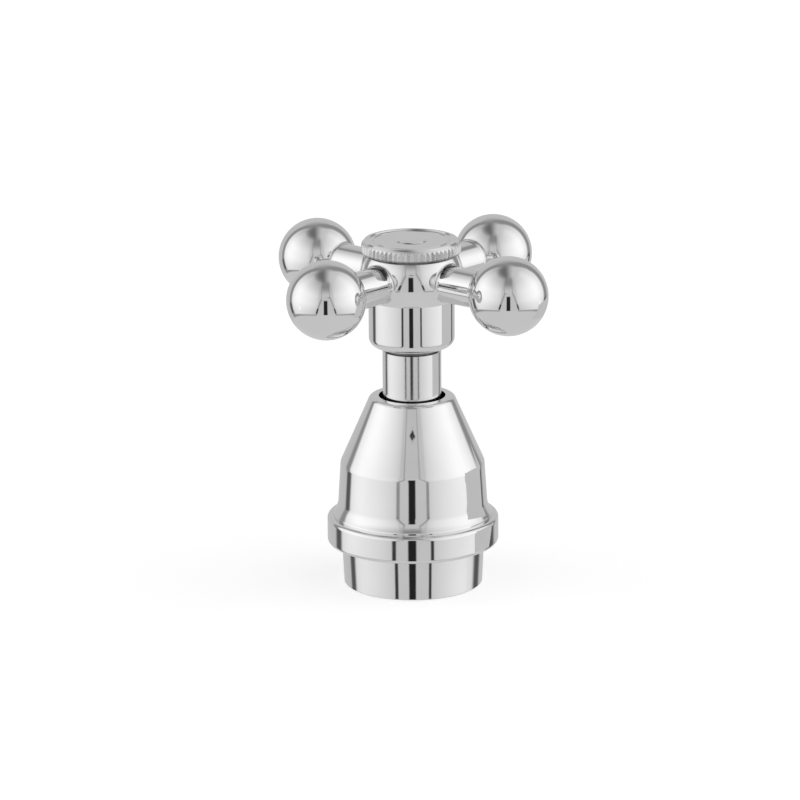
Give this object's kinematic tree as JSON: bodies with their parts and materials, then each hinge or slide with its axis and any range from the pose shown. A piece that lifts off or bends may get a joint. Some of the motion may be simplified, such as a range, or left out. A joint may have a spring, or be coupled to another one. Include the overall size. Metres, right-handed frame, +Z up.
{
  "type": "cross handle tap",
  "caption": "Chrome side valve with a rising spindle and a four-armed ball-ended cross handle over a tapered bonnet; turning the handle anticlockwise lifts the washer and lets water through.",
  "frame": {"origin": "middle of the barrel's flat foot, on the spindle's axis", "axes": "+Z up along the spindle; the handle's arms lie along X and Y when the tap is shut; the inlet is at -X, the outlet at +X and the fixing stud's hole at -Y"},
  "size_m": [0.0732, 0.0732, 0.0787],
  "materials": {
    "body_chrome": "polished chrome plate on brass",
    "ring_chrome": "polished chrome plate on brass",
    "bonnet_chrome": "polished chrome plate on brass",
    "sleeve_chrome": "polished chrome plate on brass",
    "hub_chrome": "polished chrome plate on brass",
    "arm_chrome": "polished chrome plate on brass",
    "ball_chrome": "polished chrome plate on brass",
    "cap_chrome": "polished chrome plate on brass",
    "brass": "bare machined brass",
    "steel": "bare stainless steel",
    "rubber": "black moulded rubber",
    "fibre": "red vulcanised fibre",
    "packing": "white plaited packing"
  },
  "bodies": {
    "body": {"tap_body": "body_chrome", "base_seal": "rubber", "base_ring": "ring_chrome", "bonnet": "bonnet_chrome", "bonnet_seal": "rubber", "headwork_body": "brass", "headwork_washer": "fibre", "gland_washer": "brass", "gland_packing": "packing", "gland_nut": "brass", "valve_seat": "brass"},
    "valve": {"jumper": "brass", "tap_washer": "rubber", "washer_nut": "brass"},
    "handle": {"spindle": "brass", "stem_sleeve": "sleeve_chrome", "handle_hub": "hub_chrome", "arm_right": "arm_chrome", "ball_right": "ball_chrome", "arm_back": "arm_chrome", "ball_back": "ball_chrome", "arm_left": "arm_chrome", "ball_left": "ball_chrome", "arm_front": "arm_chrome", "ball_front": "ball_chrome", "screw_washer": "steel", "handle_screw": "steel", "cap_seal": "rubber", "index_cap": "cap_chrome"}
  },
  "joints": [
    {"name": "valve_lift", "type": "slide", "parent": "body", "child": "valve", "axis": [0, 0, 1], "range_m": [0, 0.00425]},
    {"name": "handle_turn", "type": "hinge", "parent": "valve", "child": "handle", "pos_m": [0, 0, 0.07], "axis": [0, 0, 1], "range_deg": [0, 765]}
  ],
  "couplings": [
    {"joint": "valve_lift", "follows": "handle_turn", "m_per_rad": 0.0003183}
  ]
}
